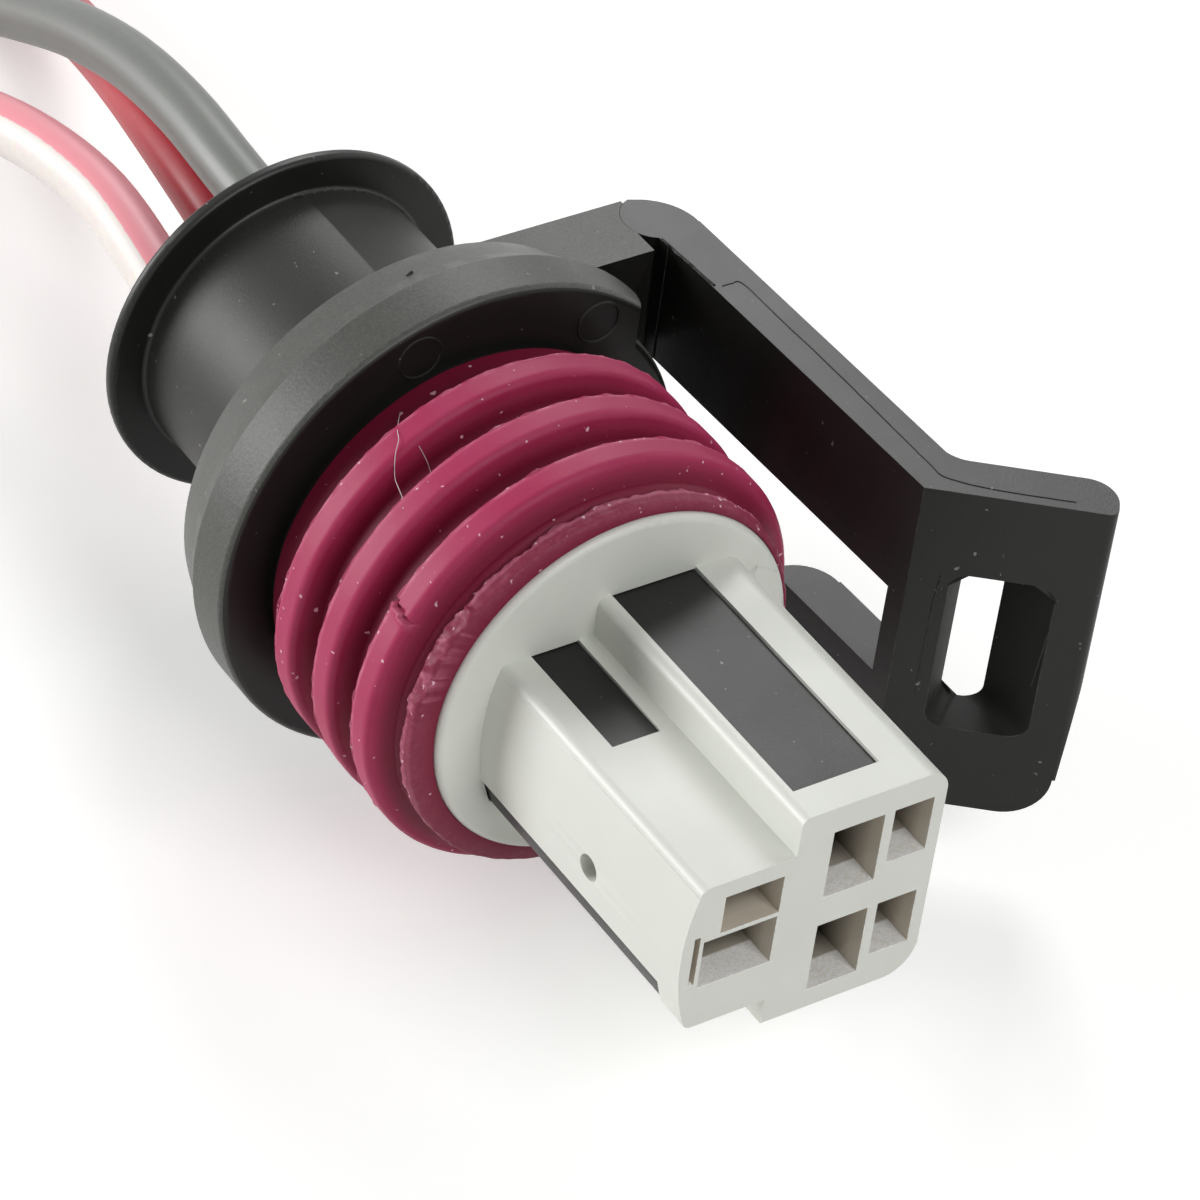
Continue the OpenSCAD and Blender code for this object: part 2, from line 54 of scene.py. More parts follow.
camera_data = bpy.data.cameras.new("camera")
camera_data.lens = 177.4
camera_data.sensor_width = 36
camera_data.clip_start = 0.01
camera = bpy.data.objects.new("camera", camera_data)
camera_right = Vector((0.83583, -0.53768, 0.11084))
camera_up = Vector((0.27435, 0.58397, 0.76401))
camera_place = Vector((-105.66, -144.29, 144.19)) * MM
camera_turn = Matrix((camera_right, camera_up, camera_right.cross(camera_up))).transposed()
camera.matrix_world = Matrix.Translation(camera_place) @ camera_turn.to_4x4()
bpy.context.scene.collection.objects.link(camera)
bpy.context.scene.camera = camera


# ---------------------------------------------------------------- Wires
# Three insulated wires of 2.5 mm leave the rear of the housing, sag to the surface and end stripped.
# Extruded PVC insulation, one of them white with a pink stripe, over a twisted copper strand.
def linear(hex_code):
    """The linear colour of an sRGB hex value such as "c9cac2"."""
    parts = [int(hex_code[i:i + 2], 16) / 255 for i in (0, 2, 4)]
    return [p / 12.92 if p <= 0.04045 else ((p + 0.055) / 1.055) ** 2.4 for p in parts] + [1.0]


def add(tree, kind, settings=None, links=None):
    """Adds a node, sets its properties and sockets, and links its inputs."""
    made = tree.nodes.new(kind)
    for key, value in (settings or {}).items():
        if isinstance(key, str) and hasattr(made, key):
            setattr(made, key, value)
        else:
            made.inputs[key].default_value = value
    for key, source in (links or {}).items():
        tree.links.new(source, made.inputs[key])
    return made


def new_material(name):
    """An empty node material and its tree, with the output and a Principled shader joined."""
    made = bpy.data.materials.new(name)
    made.use_nodes = True
    tree = made.node_tree
    tree.nodes.clear()
    shader = add(tree, "ShaderNodeBsdfPrincipled")
    add(tree, "ShaderNodeOutputMaterial", links={"Surface": shader.outputs["BSDF"]})
    return made, tree, shader


def finish_mesh(name, mesh, material, smooth_angle=35):
    """Turns a bmesh into a shown object with one material, smooth below an angle."""
    data = bpy.data.meshes.new(name)
    mesh.to_mesh(data)
    mesh.free()
    data.shade_smooth()
    data.set_sharp_from_angle(angle=math.radians(smooth_angle))
    data.materials.append(material)
    made = bpy.data.objects.new(name, data)
    bpy.context.scene.collection.objects.link(made)
    return made


def smooth_path(points, steps):
    """A smooth curve through the points, with steps pieces between each two."""
    p = [2 * points[0] - points[1]] + list(points) + [2 * points[-1] - points[-2]]
    path = []
    floor_z = min(point.z for point in points)
    for i in range(1, len(p) - 2):
        for k in range(steps):
            t = k / steps
            path.append(0.5 * (2 * p[i] + (p[i + 1] - p[i - 1]) * t
                + (2 * p[i - 1] - 5 * p[i] + 4 * p[i + 1] - p[i + 2]) * t ** 2
                + (3 * p[i] - p[i - 1] - 3 * p[i + 1] + p[i + 2]) * t ** 3))
            path[-1].z = max(path[-1].z, floor_z)
    return path + [points[-1]]


def tube(path, radius, sides):
    """A closed tube along a path, with each ring's turn kept as the cosine and sine of its angle."""
    mesh = bmesh.new()
    cosine = mesh.verts.layers.float.new("turn_cos")
    sine = mesh.verts.layers.float.new("turn_sin")
    along = mesh.verts.layers.float.new("along")
    rings = []
    travelled = 0.0
    for i, centre in enumerate(path):
        ahead = (path[min(i + 1, len(path) - 1)] - path[max(i - 1, 0)]).normalized()
        across = ahead.cross(Vector((0, 0, 1))).normalized()
        place = Matrix((across, across.cross(ahead), ahead)).transposed().to_4x4()
        place.translation = centre
        travelled += (centre - path[max(i - 1, 0)]).length
        ring = bmesh.ops.create_circle(mesh, cap_ends=i in (0, len(path) - 1), radius=radius,
            segments=sides, matrix=place)["verts"]
        for v in ring:
            out = (v.co - centre) / radius
            v[cosine] = out.dot(across)
            v[sine] = out.dot(across.cross(ahead))
            v[along] = travelled
        rings.append(ring)
    for before, after in zip(rings, rings[1:]):
        for k in range(sides):
            mesh.faces.new((before[k - 1], before[k], after[k], after[k - 1]))
    bmesh.ops.recalc_face_normals(mesh, faces=mesh.faces)
    return mesh


STRIPE_SIDE = (0.81, 0.59, 0.0)


def insulation(name, base, stripe=None):
    """Extruded PVC: faint lengthwise die lines and a satin skin, with a stripe on one side if given."""
    made, tree, shader = new_material(name)
    place = add(tree, "ShaderNodeTexCoord").outputs["Object"]
    along = add(tree, "ShaderNodeAttribute", {"attribute_name": "along"}).outputs["Fac"]
    turn_cos = add(tree, "ShaderNodeAttribute", {"attribute_name": "turn_cos"}).outputs["Fac"]
    turn_sin = add(tree, "ShaderNodeAttribute", {"attribute_name": "turn_sin"}).outputs["Fac"]
    # a die line every 0.25 mm of the skin, 30 times longer than it is wide
    round_skin = add(tree, "ShaderNodeCombineXYZ", links={"X": turn_cos, "Y": turn_sin})
    length_part = add(tree, "ShaderNodeMath", {"operation": "MULTIPLY", 1: 30.0}, {0: along})
    skin = add(tree, "ShaderNodeCombineXYZ", links={"Z": length_part.outputs[0]})
    skin_place = add(tree, "ShaderNodeVectorMath", {"operation": "ADD"},
        {0: round_skin.outputs[0], 1: skin.outputs[0]})
    lines = add(tree, "ShaderNodeTexNoise", {"Scale": 5.0, "Detail": 4.0},
        {"Vector": skin_place.outputs[0]})
    # faint clouding of about 0.4 mm in the colour
    grain = add(tree, "ShaderNodeTexNoise", {"Scale": 1 / (0.4 * MM), "Detail": 5.0}, {"Vector": place})
    tint = add(tree, "ShaderNodeMix", {"data_type": "RGBA", "blend_type": "MULTIPLY", "Factor": 0.16,
        6: linear(base)}, {7: grain.outputs["Color"]})
    colour_out = tint.outputs[2]
    if stripe:
        # the stripe takes the half of the skin that faces right and up
        lean = add(tree, "ShaderNodeVectorMath", {"operation": "DOT_PRODUCT", 1: STRIPE_SIDE},
            {0: round_skin.outputs[0]})
        edge = add(tree, "ShaderNodeMath", {"operation": "MULTIPLY_ADD", 1: 0.08, 2: -0.04},
            {0: grain.outputs["Fac"]})
        side = add(tree, "ShaderNodeMath", {"operation": "ADD"},
            {0: lean.outputs["Value"], 1: edge.outputs[0]})
        mask = add(tree, "ShaderNodeMapRange", {"From Min": -0.03, "From Max": 0.03},
            {"Value": side.outputs[0]})
        striped = add(tree, "ShaderNodeMix", {"data_type": "RGBA", 7: linear(stripe)},
            {"Factor": mask.outputs[0], 6: tint.outputs[2]})
        colour_out = striped.outputs[2]
    tree.links.new(colour_out, shader.inputs["Base Color"])
    rough = add(tree, "ShaderNodeMapRange", {"To Min": 0.34, "To Max": 0.5},
        {"Value": lines.outputs["Fac"]})
    tree.links.new(rough.outputs[0], shader.inputs["Roughness"])
    bump = add(tree, "ShaderNodeBump", {"Strength": 0.25, "Distance": 0.03 * MM},
        {"Height": lines.outputs["Fac"]})
    tree.links.new(bump.outputs[0], shader.inputs["Normal"])
    shader.inputs["IOR"].default_value = 1.53
    shader.inputs["Subsurface Weight"].default_value = 0.05
    shader.inputs["Subsurface Radius"].default_value = (0.0006, 0.0005, 0.0004)
    return made


def copper_strands():
    """Bare drawn copper: bright metal, a little darker where it has been handled."""
    made, tree, shader = new_material("bare drawn copper")
    place = add(tree, "ShaderNodeTexCoord").outputs["Object"]
    stain = add(tree, "ShaderNodeTexNoise", {"Scale": 1 / (1.5 * MM), "Detail": 4.0}, {"Vector": place})
    tint = add(tree, "ShaderNodeMix", {"data_type": "RGBA", 6: linear("c98a5a"), 7: linear("9a5c38")},
        {"Factor": stain.outputs["Fac"]})
    tree.links.new(tint.outputs[2], shader.inputs["Base Color"])
    rough = add(tree, "ShaderNodeMapRange", {"To Min": 0.22, "To Max": 0.42},
        {"Value": stain.outputs["Fac"]})
    tree.links.new(rough.outputs[0], shader.inputs["Roughness"])
    shader.inputs["Metallic"].default_value = 1.0
    return made


copper = copper_strands()
WIRE_D = 2.5
STRAND_D = 1.3
FLOOR_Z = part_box("housing")[0].z
FLOOR = FLOOR_Z / MM + WIRE_D / 2
GRIP_Y = -7.2
# the route of each wire's centre, in millimetres from its terminal's grip to its stripped end
wire_routes = {
    "wire_1": [(-3.37, GRIP_Y, -0.85), (-3.37, 3, -0.85), (-3.37, 12, -0.85), (-3.15, 16, -0.83),
        (-2.6, 20, -0.6), (-2.13, 25, -0.56), (-2.3, 30, -1.2), (-3, 35, -2.5), (-4.1, 40, -4.4),
        (-5.3, 45, -6.4), (-6.4, 50, -8.1), (-7.2, 55, -9.2), (-7.8, 60, FLOOR), (-8.2, 65, FLOOR),
        (-8.4, 70, FLOOR), (-8.2, 76, FLOOR), (-7.8, 82, FLOOR), (-7.2, 88, FLOOR),
        (-6.6, 94, FLOOR), (-6.2, 100, FLOOR), (-6, 105, FLOOR)],
    "wire_2": [(1.35, GRIP_Y, 1.97), (1.35, 3, 1.97), (1.35, 12, 1.97), (1.4, 16, 2.1),
        (1.6, 21, 2.2), (2.1, 26, 1.9), (2.5, 31, 1), (2.7, 36, -0.6), (2.7, 41, -2.8), (2.5, 46, -5.2),
        (2.2, 51, -7.4), (2, 56, -8.9), (1.8, 61, FLOOR), (1.6, 66, FLOOR), (1.2, 72, FLOOR),
        (0.8, 78, FLOOR), (0.6, 84, FLOOR), (0.8, 90, FLOOR), (1.2, 96, FLOOR),
        (1.6, 102, FLOOR), (1.8, 108, FLOOR)],
    "wire_3": [(1.35, GRIP_Y, -2.64), (1.35, 3, -2.64), (1.35, 12, -2.64), (1.45, 16, -2.3),
        (1.8, 20, -1.6), (2.35, 25, -1.3), (3.4, 30, -2), (4.8, 35, -3.4), (6.3, 40, -5.2), (7.6, 45, -7),
        (8.8, 50, -8.4), (9.7, 55, -9.3), (10.3, 60, FLOOR), (10.6, 65, FLOOR), (10.6, 71, FLOOR),
        (10.2, 77, FLOOR), (9.6, 83, FLOOR), (9, 89, FLOOR), (8.6, 95, FLOOR), (8.4, 100, FLOOR)]}
wire_finishes = {
    "wire_1": (insulation("white PVC insulation with a pink stripe", "ebe3de", "ec96a0"),
        "pink_white_insulation"),
    "wire_2": (insulation("grey PVC insulation", "70736f"), "grey_insulation"),
    "wire_3": (insulation("red PVC insulation", "b8323d"), "red_insulation")}


LAY_LENGTH = 9 * MM
SPREAD_AT_TIP = 0.05
STRAND_STEPS = 12


def bare_strand(name, start, ahead, length):
    """Seven twisted copper strands of the stripped end, spread a little at the tip."""
    across = ahead.cross(Vector((0, 0, 1))).normalized()
    up = across.cross(ahead)
    strand_r = STRAND_D / 6 * MM
    parts = []
    for k in range(7):
        ring_r = 0 if k == 0 else 2 * strand_r
        path = []
        for i in range(STRAND_STEPS + 1):
            t = i / STRAND_STEPS
            d = t * length
            angle = k * math.tau / 6 + d / LAY_LENGTH * math.tau
            spread = ring_r * (1 + SPREAD_AT_TIP * math.sin(3 * k) * t)
            path.append(start + ahead * d + (across * math.cos(angle) + up * math.sin(angle)) * spread)
        parts.append(tube(path, strand_r, 10))
    joined = bmesh.new()
    for part in parts:
        data = bpy.data.meshes.new("strand")
        part.to_mesh(data)
        part.free()
        joined.from_mesh(data)
        bpy.data.meshes.remove(data)
    return finish_mesh(name, joined, copper)


for number, (wire_name, route) in enumerate(wire_routes.items(), 1):
    centre_line = smooth_path([Vector(p) * MM for p in route], 5)
    skin, slot = wire_finishes[wire_name]
    wire = finish_mesh(wire_name + "_lead", tube(centre_line, WIRE_D / 2 * MM, 28), skin)
    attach(wire, "plug")
    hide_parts(wire_name)
    end_name = "bare_end_%d" % number
    low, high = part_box(end_name)
    heading = (centre_line[-1] - centre_line[-2]).normalized()
    strands = bare_strand(end_name + "_strands", centre_line[-1], heading, high.y - low.y - 0.2 * MM)
    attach(strands, "plug")
    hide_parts(end_name)


# ---------------------------------------------------------------- Housing and latch
# One moulding of black glass-filled nylon: flange, barrel, rear disc, and the latch that bends from a leg.
# The moulded skin has a fine dull grain, edges a little paler, and the thin lines where the tool parts.
WELD = 0.0005 * MM
FLAT = math.radians(0.6)
SHARP = math.radians(28)


def merged_copy(node_name):
    """A CAD node's shape with its flat faces joined, and a value of each face for its finish."""
    mesh = bmesh.new()
    mesh.from_mesh(frame["nodes"][node_name].data)
    bmesh.ops.remove_doubles(mesh, verts=mesh.verts, dist=WELD)
    bmesh.ops.dissolve_limit(mesh, angle_limit=FLAT, verts=mesh.verts, edges=mesh.edges)
    for finish in ("edge_wear_and_glint", "rim", "matt"):
        mesh.faces.layers.float.new(finish)
    return mesh


def round_edges(mesh, width, segments, chosen=None, inner=False):
    """Rounds a copy's sharp edges, outer or inner, where their middle and direction pass a test."""
    mesh.normal_update()
    sharp = [e for e in mesh.edges
        if e.is_manifold and e.is_convex != inner and e.calc_face_angle(0) > SHARP]
    if chosen:
        sharp = [e for e in sharp if chosen((e.verts[0].co + e.verts[1].co) / 2,
            (e.verts[1].co - e.verts[0].co).normalized())]
    rounded = bmesh.ops.bevel(mesh, geom=sharp, offset=width, affect="EDGES", segments=segments,
        profile=0.5, clamp_overlap=True, material=-1)
    wear = mesh.faces.layers.float["edge_wear_and_glint"]
    for face in rounded["faces"]:
        face[wear] = 0.0 if inner else 1.0
    bmesh.ops.remove_doubles(mesh, verts=mesh.verts, dist=WELD)
    bmesh.ops.recalc_face_normals(mesh, faces=mesh.faces)


def evenly_shaded(piece):
    """Large flat faces keep one even tone beside their rounded edges."""
    weighting = piece.modifiers.new("even_shading", "WEIGHTED_NORMAL")
    weighting.keep_sharp = True
    return piece


def moulded_nylon(name, base, sheen_rough):
    """Black nylon as moulded: dull grain, faint flow clouds, dust, scuffed edges, a coarser rim, paler
    there and on the barrel partly as painted sheen.
    """
    made, tree, shader = new_material(name)
    place = add(tree, "ShaderNodeTexCoord").outputs["Object"]
    # grain of about 0.12 mm, drawn a little coarser than the real 0.05 mm so that it shows
    grain = add(tree, "ShaderNodeTexNoise", {"Scale": 1 / (0.12 * MM), "Detail": 6.0, "Roughness": 0.7},
        {"Vector": place})
    cloud = add(tree, "ShaderNodeTexNoise", {"Scale": 1 / (5 * MM), "Detail": 5.0, "Roughness": 0.6},
        {"Vector": place})
    # dust settles in small irregular flecks of about 0.15 mm, in patches of a few millimetres
    fleck = add(tree, "ShaderNodeTexNoise", {"Scale": 1 / (0.35 * MM), "Detail": 1.5}, {"Vector": place})
    patch = add(tree, "ShaderNodeMath", {"operation": "MULTIPLY_ADD", 1: 0.16},
        {0: cloud.outputs["Fac"], 2: fleck.outputs["Fac"]})
    dust = add(tree, "ShaderNodeMapRange", {"From Min": 0.825, "From Max": 0.87, "To Max": 0.75},
        {"Value": patch.outputs[0]})
    tint = add(tree, "ShaderNodeMix", {"data_type": "RGBA", 6: linear(base), 7: linear("1d1d1b")},
        {"Factor": cloud.outputs["Fac"]})
    # edges are scuffed pale in patches of about a millimetre
    worn = add(tree, "ShaderNodeAttribute", {"attribute_name": "edge_wear_and_glint"})
    scuff = add(tree, "ShaderNodeTexNoise", {"Scale": 1 / (0.9 * MM), "Detail": 6.0, "Roughness": 0.75},
        {"Vector": place})
    scuffed = add(tree, "ShaderNodeMapRange", {"From Min": 0.48, "From Max": 0.64, "To Min": 0.2},
        {"Value": scuff.outputs["Fac"]})
    wear = add(tree, "ShaderNodeMath", {"operation": "MULTIPLY"},
        {0: worn.outputs["Fac"], 1: scuffed.outputs[0]})
    edge_tint = add(tree, "ShaderNodeMix", {"data_type": "RGBA", 7: linear("504f4b")},
        {"Factor": wear.outputs[0], 6: tint.outputs[2]})
    # the flange's rim and cone, and the barrel a little, have a coarser grain than the rest, and are
    # paler, partly from that grain and partly as painted sheen
    rim = add(tree, "ShaderNodeAttribute", {"attribute_name": "rim"})
    grain_and_sheen = add(tree, "ShaderNodeMath", {"operation": "MULTIPLY"},
        {0: rim.outputs["Fac"], 1: grain.outputs["Fac"]})
    # a paler tint on the rim and barrel: coarse grain, and painted sheen
    grain_and_sheen_tint = add(tree, "ShaderNodeMix", {"data_type": "RGBA", 7: linear("63645f")},
        {"Factor": grain_and_sheen.outputs[0], 6: edge_tint.outputs[2]})
    dusty = add(tree, "ShaderNodeMix", {"data_type": "RGBA", 7: linear("8d8b86")},
        {"Factor": dust.outputs[0], 6: grain_and_sheen_tint.outputs[2]})
    tree.links.new(dusty.outputs[2], shader.inputs["Base Color"])
    skin = add(tree, "ShaderNodeMapRange",
        {"To Min": sheen_rough - 0.07, "To Max": sheen_rough + 0.07},
        {"Value": cloud.outputs["Fac"]})
    # some walls are matt, as the tool was eroded there
    matt = add(tree, "ShaderNodeAttribute", {"attribute_name": "matt"})
    rough = add(tree, "ShaderNodeMath", {"operation": "MULTIPLY_ADD", 1: 0.32},
        {0: matt.outputs["Fac"], 2: skin.outputs[0]})
    tree.links.new(rough.outputs[0], shader.inputs["Roughness"])
    coarse = add(tree, "ShaderNodeMath", {"operation": "MULTIPLY_ADD", 1: 1.6, 2: 1.0},
        {0: rim.outputs["Fac"]})
    height = add(tree, "ShaderNodeMath", {"operation": "MULTIPLY"},
        {0: grain.outputs["Fac"], 1: coarse.outputs[0]})
    bump = add(tree, "ShaderNodeBump", {"Strength": 0.28, "Distance": 0.025 * MM},
        {"Height": height.outputs[0]})
    tree.links.new(bump.outputs[0], shader.inputs["Normal"])
    shader.inputs["IOR"].default_value = 1.53
    shader.inputs["Specular IOR Level"].default_value = 0.26
    return made


black_nylon = moulded_nylon("moulded black nylon", "131312", 0.36)
hinge = Vector(frame["joints"][0]["pos_m"])
# the root turns in a seat of this radius, and laps a hair into it, because the moulding is unbroken
SEAT_R = 1.43 * MM
ROOT_LAP = 0.05 * MM


def off_root_seat(point, ahead):
    """False beside the latch's root, where the moulding has no edge."""
    away = math.hypot(point.x - hinge.x, point.y - hinge.y)
    return away > SEAT_R + 0.1 * MM or point.x > hinge.x + 0.3 * MM


HOUSING_EDGE = 0.14 * MM
housing_mesh = merged_copy("housing")
round_edges(housing_mesh, HOUSING_EDGE, 3, off_root_seat)
# the flange's rim and the cone behind it are coarse and paler, partly as painted sheen, and the barrel a
# little
CONE_FOOT_R = 8.9 * MM
CONE_REAR_Y = 6 * MM
BARREL_Y = (3 * MM, 13.7 * MM)
rim = housing_mesh.faces.layers.float["rim"]
matt = housing_mesh.faces.layers.float["matt"]
for face in housing_mesh.faces:
    middle = face.calc_center_median()
    on_cone = math.hypot(middle.x, middle.z) > CONE_FOOT_R and middle.y < CONE_REAR_Y
    beside_latch = middle.x >= 0.8 * hinge.x
    if on_cone and abs(face.normal.y) < 0.8 and not beside_latch:
        face[rim] = 1.0
        face[matt] = 0.1
    elif abs(face.normal.y) < 0.3 and BARREL_Y[0] < middle.y < BARREL_Y[1]:
        face[rim] = 0.3
        face[matt] = 0.25
housing = evenly_shaded(finish_mesh("housing_moulding", housing_mesh, black_nylon))
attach(housing, "plug")
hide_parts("housing")

latch_mesh = merged_copy("latch")
# the pad's window lies between these places in x and y, and this far above and below the middle
WINDOW_X = (12.3 * MM, 15.9 * MM)
WINDOW_Y = (-17.1 * MM, -13 * MM)
WINDOW_HALF_H = 3.8 * MM
PAD_ACROSS = Vector((0.785, -0.62, 0))
PAD_NORMAL = PAD_ACROSS.cross(Vector((0, 0, 1)))
WINDOW_CORNER_R = 0.9 * MM
LATCH_EDGE = 0.16 * MM


def in_window_corner(point, ahead):
    """True where the window's top or bottom meets its sides."""
    return abs(abs(point.z) - WINDOW_HALF_H) < 0.05 * MM and abs(ahead.dot(PAD_ACROSS)) < 0.9


round_edges(latch_mesh, WINDOW_CORNER_R, 7, in_window_corner, inner=True)
round_edges(latch_mesh, LATCH_EDGE, 4, off_root_seat)
# the window's walls are matt
matt = latch_mesh.faces.layers.float["matt"]
for face in latch_mesh.faces:
    middle = face.calc_center_median()
    in_plan = WINDOW_X[0] < middle.x < WINDOW_X[1] and WINDOW_Y[0] < middle.y < WINDOW_Y[1]
    in_height = abs(middle.z) < WINDOW_HALF_H + 0.1 * MM
    if in_plan and in_height and abs(face.normal.dot(PAD_NORMAL)) < 0.75:
        face[matt] = 1.0
# the root's skin laps into its seat
for v in latch_mesh.verts:
    out = Vector((v.co.x - hinge.x, v.co.y - hinge.y, 0))
    if SEAT_R - 0.06 * MM < out.length < SEAT_R - 0.02 * MM and v.co.x < hinge.x + 0.05 * MM:
        v.co += out.normalized() * ROOT_LAP
latch = evenly_shaded(finish_mesh("latch_arm", latch_mesh, black_nylon))
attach(latch, "latch")
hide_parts("latch")


def ripple(point, size, shift=0):
    """Smooth noise from about -1 to 1 at a point, with bumps of a size in millimetres."""
    return noise.noise(point / (size * MM) + Vector((shift, 0, 0)))


def thin_line(name, points, body, finish, radius, raggedness=0.0, surface=None):
    """A fine raised line, half sunk in a surface, through points in millimetres."""
    path = smooth_path([Vector(p) * MM for p in points], 10)
    if surface:
        path = [surface.find_nearest(p)[0] for p in path]
    mesh = tube(path, radius * MM, 8)
    for v in mesh.verts:
        grown = ripple(v.co, 0.25) * raggedness
        sway = Vector((ripple(v.co, 0.4), ripple(v.co, 0.6, 9), 0))
        v.co += sway * (radius * 0.6 + grown) * MM
    line = finish_mesh(name, mesh, finish)
    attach(line, body)


LATCH_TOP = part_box("latch")[1].z / MM
# where the tool parts, along the arm's top to the pad's end
thin_line("latch_parting_line", [(x, y, LATCH_TOP) for x, y in (
    (11.16, 0.33), (11.6, 0.3), (12.0, 0.1), (12.06, -2.25), (12.16, -5.19), (12.2, -9.56),
    (12.22, -12.29), (12.35, -13.3), (13.66, -14.7), (16.0, -16.6))],
    "latch", black_nylon, 0.03)
# thin flash along the edge near the root, and beside the pad's window where the tool's slide shuts off
thin_line("latch_root_flash", [(x, y, LATCH_TOP) for x, y in (
    (10.66, 3.9), (10.72, 3.3), (10.76, 2.6), (10.8, 1.97), (10.84, 1.2), (10.9, 0.5))],
    "latch", black_nylon, 0.06, 0.12)
thin_line("window_flash_left", [(12.15, -14.15, 3.6), (12.09, -14.1, 2.05), (12.08, -14.09, 0.79),
    (12.07, -14.08, -2.3)], "latch", black_nylon, 0.035, 0.14)
thin_line("window_flash_right", [(15.68, -16.93, 3.1), (15.67, -16.86, 1.22), (15.65, -16.63, -1.3)],
    "latch", black_nylon, 0.035, 0.14)


PIN_R = 0.92 * MM
PIN_LINE_R = 0.05 * MM


def pin_mark(name, centre):
    """The faint ring that an ejector pin leaves in the flange's front face, round a centre."""
    mesh = bmesh.new()
    around = Matrix.Translation((PIN_R, 0, 0))
    bmesh.ops.create_circle(mesh, radius=PIN_LINE_R, segments=8, matrix=around)
    bmesh.ops.spin(mesh, geom=mesh.verts[:] + mesh.edges[:], cent=(0, 0, 0), axis=(0, 1, 0),
        angle=math.tau, steps=48, use_merge=True, use_duplicate=False)
    bmesh.ops.remove_doubles(mesh, verts=mesh.verts, dist=WELD)
    bmesh.ops.recalc_face_normals(mesh, faces=mesh.faces)
    bmesh.ops.translate(mesh, verts=mesh.verts, vec=Vector(centre) * MM)
    ring_mark = finish_mesh(name, mesh, black_nylon)
    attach(ring_mark, "plug")


# the gate's small stub, cut off on the cone behind the flange
thin_line("gate_mark", [(-1.75, 3.2, 10.22), (-1.6, 3.27, 10.24), (-1.46, 3.3, 10.26)],
    "plug", black_nylon, 0.07, 0.05)
pin_mark("pin_mark_left", (-3.0, 0, 8.96))
pin_mark("pin_mark_right", (5.12, 0, 8.09))


# ---------------------------------------------------------------- Main seal
# A silicone rubber ring with three ribs, moulded in wine red and stretched over the core's neck.
# Each rib keeps a ragged line of flash at its rear corner. The front lip is torn thin, and lint clings
# to the skin. The sizes are the solid's, in millimetres, and the ring sits a little left of the core.
SEAL_R = 9.45
SEAL_ROOT_R = 8.45
SEAL_SHIFT = -0.4
RIB_MIDDLE = -5.55
RIB_PITCH = 2.8
RIB_W = 1.35
RIB_CORNER_R = 0.35
RIB_LEAN = 0.3
LIP_R = 8.47
LIP_BORE_R = 7.83
# the lip lies in front of LIP_REAR, and its ragged rear edge ends at LIP_EDGE
LIP_REAR = -9.9
LIP_EDGE = -9.99
NECK_BORE_R = 7.23
NECK_FRONT = -9.98
# the skin outside this radius is worn, and a rib is pale this near its flash
SKIN_R = 8.1
FLASH_BAND = 0.2
# how far round a rib's rear corner its flash stands, and the stretch of the lip that is torn, in degrees
FLASH_TURN = 55
LIP_TEAR = (138, 172)


def rib_points(middle):
    """The outline of one rib as radius and y, from its rear foot over its crest to its front foot."""
    half = RIB_W / 2
    flat = half - RIB_CORNER_R
    rear = [(SEAL_ROOT_R + (SEAL_R - RIB_CORNER_R - SEAL_ROOT_R) * t, half + RIB_LEAN * (1 - t))
        for t in (0, 0.06, 0.35, 0.7, 1)]
    turns = [10, 20, 30, 40, 50, FLASH_TURN - 6, FLASH_TURN, FLASH_TURN + 6, 70, 80, 90]
    for turn in map(math.radians, turns):
        rear.append((SEAL_R - RIB_CORNER_R * (1 - math.sin(turn)), flat + RIB_CORNER_R * math.cos(turn)))
    crest = [(SEAL_R, flat * t) for t in (0.6, 0.15, 0)]
    front = [(r, -d) for r, d in reversed(rear)]
    return [(r, middle + d) for r, d in rear + crest + [(r, -d) for r, d in crest[1::-1]] + front]


def seal_profile():
    """Points of the seal's outline as radius and y, from the flange to the lip and back inside."""
    low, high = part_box("main_seal")
    rear, front = high.y / MM, low.y / MM
    points = [(SEAL_ROOT_R, rear)]
    for k in (1, 0, -1):
        points += rib_points(RIB_MIDDLE + k * RIB_PITCH)
    # a groove behind the lip
    points += [(SEAL_ROOT_R, -9.42), (8.38, -9.55), (8.27, -9.66), (8.25, -9.78), (8.3, -9.88),
        (8.42, -9.93)]
    points += [(LIP_R, -9.96), (LIP_R + 0.01, -10.0), (LIP_R - 0.02, -10.1), (LIP_R - 0.03, -10.3),
        (8.41, -10.43), (8.33, front)]
    return points + [(LIP_BORE_R, front), (LIP_BORE_R, NECK_FRONT), (NECK_BORE_R, NECK_FRONT),
        (NECK_BORE_R, rear)]


def spun_seal():
    """The seal's outline spun round its axis."""
    mesh = bmesh.new()
    corners = [mesh.verts.new((r * MM, y * MM, 0)) for r, y in seal_profile()]
    edges = [mesh.edges.new(pair) for pair in zip(corners, corners[1:] + corners[:1])]
    bmesh.ops.spin(mesh, geom=corners + edges, cent=(0, 0, 0), axis=(0, 1, 0), angle=math.tau,
        steps=440, use_merge=True, use_duplicate=False)
    bmesh.ops.remove_doubles(mesh, verts=mesh.verts, dist=2 * WELD)
    bmesh.ops.recalc_face_normals(mesh, faces=mesh.faces)
    return mesh


